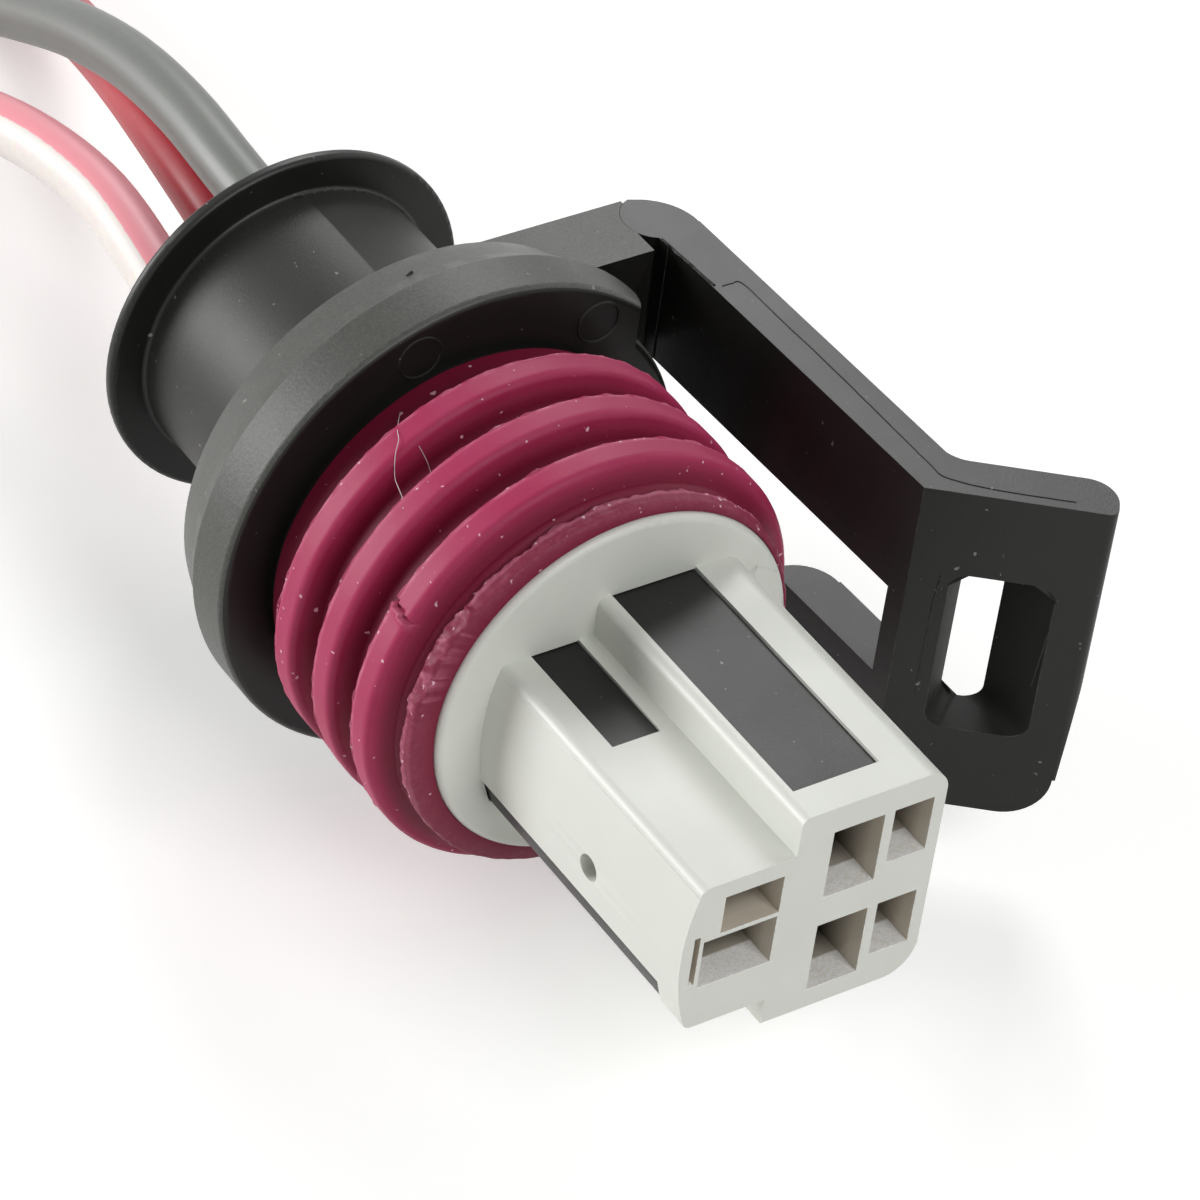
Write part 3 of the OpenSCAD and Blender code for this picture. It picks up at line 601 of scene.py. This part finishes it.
def wear_seal(mesh):
    """Leaves the skin wavy, with flash on each rib and a ragged, partly torn lip, and moves it left."""
    crest = mesh.verts.layers.float.new("crest")
    flash = mesh.verts.layers.float.new("flash")
    flash_y = RIB_W / 2 - RIB_CORNER_R * (1 - math.cos(math.radians(FLASH_TURN)))
    for v in mesh.verts:
        out = Vector((v.co.x, 0, v.co.z))
        r, y = out.length / MM, v.co.y / MM
        out.normalize()
        # crest is 0 in the grooves, which take painted shade, and 1 on the crests, which take dust and a
        # painted sheen
        v[crest] = min(max((r - SEAL_ROOT_R - 0.35) / 0.6, 0), 1)
        from_rib = min((y - RIB_MIDDLE - k * RIB_PITCH for k in (-1, 0, 1)), key=abs)
        from_flash = abs(from_rib - flash_y)
        if r > SKIN_R:
            wave = ripple(v.co, 3.5) * 0.04 + ripple(v.co, 0.8) * 0.01
            if from_flash < 0.012 and r > 9:
                tall = 0.025 + 0.09 * max(ripple(v.co, 0.7) + 0.1, 0) + 0.03 * abs(ripple(v.co, 0.2))
                v.co += (out * tall + Vector((0, tall * 0.5, 0))) * MM
            if r > SEAL_R - FLASH_BAND:
                v[flash] = max(1 - from_flash / FLASH_BAND, 0) * (0.6 + ripple(v.co, 0.5))
            if y < LIP_REAR:
                wave += ripple(v.co, 0.45) * 0.06
                if y > LIP_EDGE:
                    v.co.y += (0.1 + ripple(v.co, 1.3) * 0.24 + ripple(v.co, 0.3) * 0.1) * MM
                v[flash] = 0.9 if y > LIP_EDGE - 0.01 else 0.25
                if LIP_TEAR[0] < math.degrees(math.atan2(v.co.z, v.co.x)) < LIP_TEAR[1]:
                    shred = ripple(v.co, 0.5) + 0.5 * ripple(v.co, 0.16)
                    wave += abs(shred) * 0.22
                    v[flash] = min(max(0.3 + shred * 2, 0.2), 1)
            v.co += out * wave * MM
        elif y < LIP_REAR and r > LIP_BORE_R - 0.1:
            # the lip's bore is round about the core, not about the seal
            side = out.x * -SEAL_SHIFT
            bore = side + math.sqrt(LIP_BORE_R ** 2 - SEAL_SHIFT ** 2 + side ** 2)
            v.co = out * bore * MM + Vector((0, v.co.y, 0))
        v.co.x += SEAL_SHIFT * MM


NICK = Vector((-8.45, -8.35, 4.9)) * MM
NICK_ACROSS = Vector((-0.35, 0.25, -0.9)).normalized()
NICK_REACH = 0.95 * MM
NICK_W = 0.14
NICK_DEPTH = 0.22
NICK_LIFT = 0.1


def cut_nick(mesh):
    """A nick across the front rib, with its far side lifted a little."""
    flash = mesh.verts.layers.float["flash"]
    for v in mesh.verts:
        reach = v.co - NICK
        if reach.length < NICK_REACH:
            d = reach.dot(NICK_ACROSS) / MM
            fade = 1 - reach.length / NICK_REACH
            lift = 0
            if 0 < d < NICK_W:
                lift = -NICK_DEPTH
            elif d >= NICK_W:
                lift = NICK_LIFT * math.exp(-((d - 0.2) / 0.16) ** 2)
            v.co += Vector((v.co.x, 0, v.co.z)).normalized() * lift * min(fade * 2.5, 1) * MM
            if 0 < d < 0.3:
                v[flash] = max(v[flash], fade)


def silicone(name, base, deep_painted_shade, dust_and_sheen_tint, specks_shown):
    """Wine-red silicone: satin, with painted shade between its ribs, dust and a painted sheen on their
    crests, flecked with lint.
    """
    made, tree, shader = new_material(name)
    place = add(tree, "ShaderNodeTexCoord").outputs["Object"]
    grain = add(tree, "ShaderNodeTexNoise", {"Scale": 1 / (0.2 * MM), "Detail": 5.0, "Roughness": 0.65},
        {"Vector": place})
    cloud = add(tree, "ShaderNodeTexNoise", {"Scale": 1 / (2.4 * MM), "Detail": 4.0}, {"Vector": place})
    crest = add(tree, "ShaderNodeAttribute", {"attribute_name": "crest"})
    flash = add(tree, "ShaderNodeAttribute", {"attribute_name": "flash"})
    # the crests carry dust and a painted sheen, and the colour falls to painted shade between the ribs
    dust_and_sheen = add(tree, "ShaderNodeMath", {"operation": "MULTIPLY"},
        {0: crest.outputs["Fac"], 1: cloud.outputs["Fac"]})
    flank = add(tree, "ShaderNodeMix", {"data_type": "RGBA", 6: linear(deep_painted_shade), 7: linear(base)},
        {"Factor": crest.outputs["Fac"]})
    tint = add(tree, "ShaderNodeMix", {"data_type": "RGBA", 7: linear(dust_and_sheen_tint)},
        {"Factor": dust_and_sheen.outputs[0], 6: flank.outputs[2]})
    torn = add(tree, "ShaderNodeMath", {"operation": "MULTIPLY"},
        {0: flash.outputs["Fac"], 1: grain.outputs["Fac"]})
    pale = add(tree, "ShaderNodeMix", {"data_type": "RGBA", 7: linear("d6809b")},
        {"Factor": torn.outputs[0], 6: tint.outputs[2]})
    # lint and dust in irregular flecks of 0.05 to 0.15 mm, thicker where flash holds them
    fleck = add(tree, "ShaderNodeTexNoise", {"Scale": 1 / (0.32 * MM), "Detail": 1.0}, {"Vector": place})
    patch = add(tree, "ShaderNodeMath", {"operation": "MULTIPLY_ADD", 1: 0.12},
        {0: cloud.outputs["Fac"], 2: fleck.outputs["Fac"]})
    held = add(tree, "ShaderNodeMath", {"operation": "MULTIPLY_ADD", 1: 0.09},
        {0: flash.outputs["Fac"], 2: patch.outputs[0]})
    specks = add(tree, "ShaderNodeMapRange", {"From Min": 0.81, "From Max": 0.85, "To Max": specks_shown},
        {"Value": held.outputs[0]})
    linted = add(tree, "ShaderNodeMix", {"data_type": "RGBA", 7: linear("e6bccb")},
        {"Factor": specks.outputs[0], 6: pale.outputs[2]})
    tree.links.new(linted.outputs[2], shader.inputs["Base Color"])
    rough = add(tree, "ShaderNodeMapRange", {"To Min": 0.4, "To Max": 0.58},
        {"Value": cloud.outputs["Fac"]})
    tree.links.new(rough.outputs[0], shader.inputs["Roughness"])
    bump = add(tree, "ShaderNodeBump", {"Strength": 0.3, "Distance": 0.03 * MM},
        {"Height": grain.outputs["Fac"]})
    tree.links.new(bump.outputs[0], shader.inputs["Normal"])
    shader.inputs["IOR"].default_value = 1.42
    shader.inputs["Specular IOR Level"].default_value = 0.3
    shader.inputs["Subsurface Weight"].default_value = 0.1
    shader.inputs["Subsurface Radius"].default_value = (0.0008, 0.0002, 0.0003)
    return made


# the second colour is painted shade between the ribs, the third dust and painted sheen on their crests
wine_silicone = silicone("wine red silicone rubber", "a01f4a", "741030", "ab3f64", 0.85)
seal_mesh = spun_seal()
wear_seal(seal_mesh)
cut_nick(seal_mesh)
seal = finish_mesh("main_seal_ring", seal_mesh, wine_silicone, 60)
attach(seal, "plug")
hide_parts("main_seal")


def cotton_lint():
    """Pale cotton lint: matt, uneven and a little see-through."""
    made, tree, shader = new_material("cotton lint")
    place = add(tree, "ShaderNodeTexCoord").outputs["Object"]
    uneven = add(tree, "ShaderNodeTexNoise", {"Scale": 1 / (0.3 * MM), "Detail": 3.0}, {"Vector": place})
    tint = add(tree, "ShaderNodeMix", {"data_type": "RGBA", "blend_type": "MULTIPLY", "Factor": 0.3,
        6: linear("dccfd2")}, {7: uneven.outputs["Color"]})
    tree.links.new(tint.outputs[2], shader.inputs["Base Color"])
    rough = add(tree, "ShaderNodeMapRange", {"To Min": 0.7, "To Max": 0.95},
        {"Value": uneven.outputs["Fac"]})
    tree.links.new(rough.outputs[0], shader.inputs["Roughness"])
    shader.inputs["Subsurface Weight"].default_value = 0.3
    shader.inputs["Subsurface Radius"].default_value = (0.0004, 0.0002, 0.0002)
    return made


lint = cotton_lint()
thin_line("lint_hair_rear", [(-4.34, -0.99, 7.5), (-5.3, -2.3, 8.0), (-5.62, -2.9, 8.0),
    (-5.95, -3.28, 7.62), (-6.14, -3.7, 6.9), (-6.5, -4.8, 6.95), (-6.84, -5.42, 6.97)],
    "plug", lint, 0.016)
thin_line("lint_hair_front", [(-5.07, -3.35, 8.0), (-4.85, -3.72, 7.4), (-4.93, -4.19, 7.22),
    (-5.4, -4.9, 7.7), (-5.78, -5.32, 7.82)], "plug", lint, 0.014)


# ---------------------------------------------------------------- Nose cap
# Light grey thermoplastic, moulded and snapped over the core: a disc and a stepped nose with its windows.
# Satin skin, faintly cloudy, with painted glints on its edges and painted shade deep in its windows, and
# sandy on the window floors where the tool was spark eroded, near white there partly with painted glints.
CAP_GREY = "dee0d9"
CAP_CLOUD = "d5d7cf"
CAP_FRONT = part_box("nose_cap")[0].y
# behind the front face: where the sandy floors end, and from where to where the walls darken with painted
# shade
SANDY_DEPTH = 1.3 * MM
DARK_FROM = 0.6 * MM
DARK_TO = 2.4 * MM


def cap_plastic():
    """Light grey moulded plastic: painted glints at its edges, warmer in its windows with painted shade
    deeper in, sandy and near white with painted glints on their floors.
    """
    made, tree, shader = new_material("light grey moulded PBT")
    place = add(tree, "ShaderNodeTexCoord").outputs["Object"]
    sand = add(tree, "ShaderNodeTexNoise", {"Scale": 1 / (0.14 * MM), "Detail": 3.0, "Roughness": 0.7},
        {"Vector": place})
    cloud = add(tree, "ShaderNodeTexNoise", {"Scale": 1 / (4 * MM), "Detail": 4.0}, {"Vector": place})
    inner = add(tree, "ShaderNodeAttribute", {"attribute_name": "in_window"})
    floor = add(tree, "ShaderNodeAttribute", {"attribute_name": "sandy"})
    edge = add(tree, "ShaderNodeAttribute", {"attribute_name": "edge_wear_and_glint"})
    tint = add(tree, "ShaderNodeMix", {"data_type": "RGBA", 6: linear(CAP_GREY), 7: linear(CAP_CLOUD)},
        {"Factor": cloud.outputs["Fac"]})
    warm = add(tree, "ShaderNodeMix", {"data_type": "RGBA", 7: linear("d2c9ba")},
        {"Factor": inner.outputs["Fac"], 6: tint.outputs[2]})
    grit = add(tree, "ShaderNodeMapRange", {"From Min": 0.4, "From Max": 0.6},
        {"Value": sand.outputs["Fac"]})
    # the sandy floors are near white: the eroded grain, and painted glints on it
    sand_and_painted_glints = add(tree, "ShaderNodeMix", {"data_type": "RGBA", 6: linear("f1efe8"), 7: linear("ffffff")},
        {"Factor": grit.outputs[0]})
    # the eroded patch ends a little way behind the front face
    parts = add(tree, "ShaderNodeSeparateXYZ", links={"Vector": place})
    patch_end = CAP_FRONT + SANDY_DEPTH
    shallow = add(tree, "ShaderNodeMapRange", {"From Min": patch_end - 0.05 * MM,
        "From Max": patch_end + 0.05 * MM, "To Min": 1.0, "To Max": 0.0}, {"Value": parts.outputs["Y"]})
    eroded = add(tree, "ShaderNodeMath", {"operation": "MULTIPLY"},
        {0: floor.outputs["Fac"], 1: shallow.outputs[0]})
    # painted shade: the windows' walls darken to brown deeper in, towards the cavities
    depth = add(tree, "ShaderNodeMapRange", {"From Min": CAP_FRONT + DARK_FROM,
        "From Max": CAP_FRONT + DARK_TO, "To Max": 0.92}, {"Value": parts.outputs["Y"]})
    deep_painted_shade = add(tree, "ShaderNodeMath", {"operation": "MULTIPLY"},
        {0: inner.outputs["Fac"], 1: depth.outputs[0]})
    # painted shade deep in the windows
    window_painted_shade = add(tree, "ShaderNodeMix", {"data_type": "RGBA", 7: linear("3d372f")},
        {"Factor": deep_painted_shade.outputs[0], 6: warm.outputs[2]})
    sanded = add(tree, "ShaderNodeMix", {"data_type": "RGBA"},
        {"Factor": eroded.outputs[0], 6: window_painted_shade.outputs[2], 7: sand_and_painted_glints.outputs[2]})
    # painted glints: the cap's rounded edges turn near white in a sandy pattern
    pale = add(tree, "ShaderNodeMath", {"operation": "MULTIPLY"},
        {0: edge.outputs["Fac"], 1: grit.outputs[0]})
    painted_edge_glints = add(tree, "ShaderNodeMix", {"data_type": "RGBA", 7: linear("f6f6f2")},
        {"Factor": pale.outputs[0], 6: sanded.outputs[2]})
    tree.links.new(painted_edge_glints.outputs[2], shader.inputs["Base Color"])
    rough = add(tree, "ShaderNodeMapRange", {"To Min": 0.34, "To Max": 0.46},
        {"Value": cloud.outputs["Fac"]})
    tree.links.new(rough.outputs[0], shader.inputs["Roughness"])
    # edges take the light in small glints, as the grain there is worn open
    glint = add(tree, "ShaderNodeMath", {"operation": "MULTIPLY_ADD", 1: 0.45},
        {0: edge.outputs["Fac"], 2: eroded.outputs[0]})
    strong = add(tree, "ShaderNodeMapRange", {"To Min": 0.1, "To Max": 1.0}, {"Value": glint.outputs[0]})
    height = add(tree, "ShaderNodeMath", {"operation": "MULTIPLY"},
        {0: sand.outputs["Fac"], 1: strong.outputs[0]})
    bump = add(tree, "ShaderNodeBump", {"Strength": 0.7, "Distance": 0.07 * MM},
        {"Height": height.outputs[0]})
    tree.links.new(bump.outputs[0], shader.inputs["Normal"])
    shader.inputs["IOR"].default_value = 1.5
    shader.inputs["Subsurface Weight"].default_value = 0.06
    shader.inputs["Subsurface Radius"].default_value = (0.0006, 0.0005, 0.0004)
    return made


OUTER_EDGE = 0.12 * MM
WINDOW_EDGE = 0.05 * MM
MOUTH_DEPTH = 0.6 * MM
WINDOW_SPAN = 4.5 * MM
cap_mesh = merged_copy("nose_cap")
in_window = cap_mesh.faces.layers.float.new("in_window")
sandy = cap_mesh.faces.layers.float.new("sandy")
shape = BVHTree.FromBMesh(cap_mesh)
# a window's wall starts at the front and faces another within the window's span
for face in cap_mesh.faces:
    middle = face.calc_center_median()
    near_front = min(v.co.y for v in face.verts) < CAP_FRONT + MOUTH_DEPTH
    facing = shape.ray_cast(middle + face.normal * 0.02 * MM, face.normal, WINDOW_SPAN)[0]
    if near_front and facing and abs(face.normal.y) < 0.3:
        face[in_window] = 1.0
        # the slots' floors and the upper left lock window's are plain
        plain = middle.z > 2.5 * MM or middle.x < 0 and middle.z > -1 * MM
        face[sandy] = 1.0 if face.normal.z > 0.7 and not plain else 0.0
window_walls = BVHTree.FromPolygons([v.co.copy() for v in cap_mesh.verts],
    [[v.index for v in face.verts] for face in cap_mesh.faces if face[in_window]])


def on_window(point, ahead):
    """True for an edge that a window's wall meets."""
    return window_walls.find_nearest(point)[3] < 0.02 * MM


def off_window(point, ahead):
    """True for an edge that is clear of the windows and of their rounding."""
    return window_walls.find_nearest(point)[3] > 0.07 * MM


round_edges(cap_mesh, WINDOW_EDGE, 2, on_window)
round_edges(cap_mesh, OUTER_EDGE, 3, off_window)
grey_plastic = cap_plastic()
cap = evenly_shaded(finish_mesh("nose_cap_moulding", cap_mesh, grey_plastic))
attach(cap, "plug")
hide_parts("nose_cap")
# where the tool's halves meet on the disc
thin_line("cap_parting_line", [(4.68, -12.38, 4.67), (5.45, -11.85, 4.15), (6.2, -11.3, 3.65),
    (6.98, -10.76, 3.12)], "plug", grey_plastic, 0.03, 0.02, shape)


# ---------------------------------------------------------------- Terminals and cable seals
# Stamped brass strip, tin plated and folded into a box with a spring, and crimped on the wire.
# A small ribbed silicone sleeve closes each cavity round its wire.
def tinned_strip():
    """Matt tin plate: pale soft metal with faint rolling marks along the strip."""
    made, tree, shader = new_material("tin plated brass strip")
    place = add(tree, "ShaderNodeTexCoord").outputs["Object"]
    # rolling marks 0.15 mm wide and 2.5 mm long
    stretch = add(tree, "ShaderNodeMapping",
        {"Scale": (1 / (0.15 * MM), 1 / (2.5 * MM), 1 / (0.15 * MM))}, {"Vector": place})
    marks = add(tree, "ShaderNodeTexNoise", {"Scale": 1.0, "Detail": 3.0}, {"Vector": stretch.outputs[0]})
    tint = add(tree, "ShaderNodeMix", {"data_type": "RGBA", 6: linear("c4bfb4"), 7: linear("a49e92")},
        {"Factor": marks.outputs["Fac"]})
    tree.links.new(tint.outputs[2], shader.inputs["Base Color"])
    rough = add(tree, "ShaderNodeMapRange", {"To Min": 0.25, "To Max": 0.45},
        {"Value": marks.outputs["Fac"]})
    tree.links.new(rough.outputs[0], shader.inputs["Roughness"])
    shader.inputs["Metallic"].default_value = 1.0
    return made


tin = tinned_strip()
small_silicone = silicone("wine red silicone, small seals", "7a2144", "701c3c", "8c2c50", 0.3)
for number in (1, 2, 3):
    for kind, finish in (("terminal_", tin), ("conductor_", copper), ("cable_seal_", small_silicone)):
        data = frame["nodes"][kind + str(number)].data
        data.materials.clear()
        data.materials.append(finish)


# ---------------------------------------------------------------- Studio
# A pale surface that keeps a soft shadow, with four soft boxes round it: one behind that gives the tops
# their sheen, one low behind the left side, a high one in front, and a weak fill from the right.
BOARD_GLOW = 0.4
BOARD_HALF = 3.0


def seen_white(tree):
    """1 for what the lens, gloss or clear plastic sees, and 0 for light that falls on the part."""
    ray = add(tree, "ShaderNodeLightPath")
    seen = add(tree, "ShaderNodeMath", {"operation": "MAXIMUM"},
        {0: ray.outputs["Is Camera Ray"], 1: ray.outputs["Is Glossy Ray"]})
    seen_through = add(tree, "ShaderNodeMath", {"operation": "MAXIMUM"},
        {0: seen.outputs[0], 1: ray.outputs["Is Transmission Ray"]})
    return seen_through.outputs[0]


def pale_surface():
    """A pale board that the lens, and gloss on the plug, see as near white."""
    made, tree, shader = new_material("pale board")
    shader.inputs["Base Color"].default_value = linear("ececea")
    shader.inputs["Roughness"].default_value = 0.8
    lift = add(tree, "ShaderNodeMath", {"operation": "MULTIPLY", 1: BOARD_GLOW}, {0: seen_white(tree)})
    glow = add(tree, "ShaderNodeEmission", {"Color": (1, 1, 1, 1)}, {"Strength": lift.outputs[0]})
    total = add(tree, "ShaderNodeAddShader", links={0: shader.outputs["BSDF"], 1: glow.outputs[0]})
    out = next(n for n in tree.nodes if n.type == "OUTPUT_MATERIAL")
    tree.links.new(total.outputs[0], out.inputs["Surface"])
    return made


board = bmesh.new()
bmesh.ops.create_grid(board, x_segments=1, y_segments=1, size=BOARD_HALF)
bmesh.ops.translate(board, verts=board.verts, vec=(0, 0, FLOOR_Z - 0.02 * MM))
finish_mesh("pale_board", board, pale_surface())

world = bpy.data.worlds.new("studio")
bpy.context.scene.world = world
world.use_nodes = True
world.node_tree.nodes.clear()
world_light = add(world.node_tree, "ShaderNodeBackground", {"Color": (1, 1, 1, 1), "Strength": 0.12})
world_white = add(world.node_tree, "ShaderNodeBackground", {"Color": (1, 1, 1, 1), "Strength": 1.0})
world_mix = add(world.node_tree, "ShaderNodeMixShader", links={
    0: seen_white(world.node_tree), 1: world_light.outputs[0], 2: world_white.outputs[0]})
add(world.node_tree, "ShaderNodeOutputWorld", links={"Surface": world_mix.outputs[0]})


def soft_box(name, heading, distance, size, power):
    """A square area light in a direction from the plug, and aimed at it."""
    place = Vector(heading).normalized() * distance
    lamp = bpy.data.lights.new(name, "AREA")
    lamp.size = size
    lamp.energy = power
    made = bpy.data.objects.new(name, lamp)
    made.location = place
    made.rotation_euler = (-place).to_track_quat("-Z", "Y").to_euler()
    bpy.context.scene.collection.objects.link(made)


soft_box("box_behind", (0.44, 0.635, 0.635), 0.55, 0.20, 0.95)
soft_box("box_left_behind", (-0.72, 0.66, 0.22), 0.55, 0.28, 2.9)
soft_box("box_front_high", (0.05, -0.74, 0.66), 0.60, 0.35, 1.75)
soft_box("box_right_fill", (0.88, -0.10, 0.45), 0.60, 0.40, 0.5)

bpy.context.scene.view_settings.view_transform = "Standard"
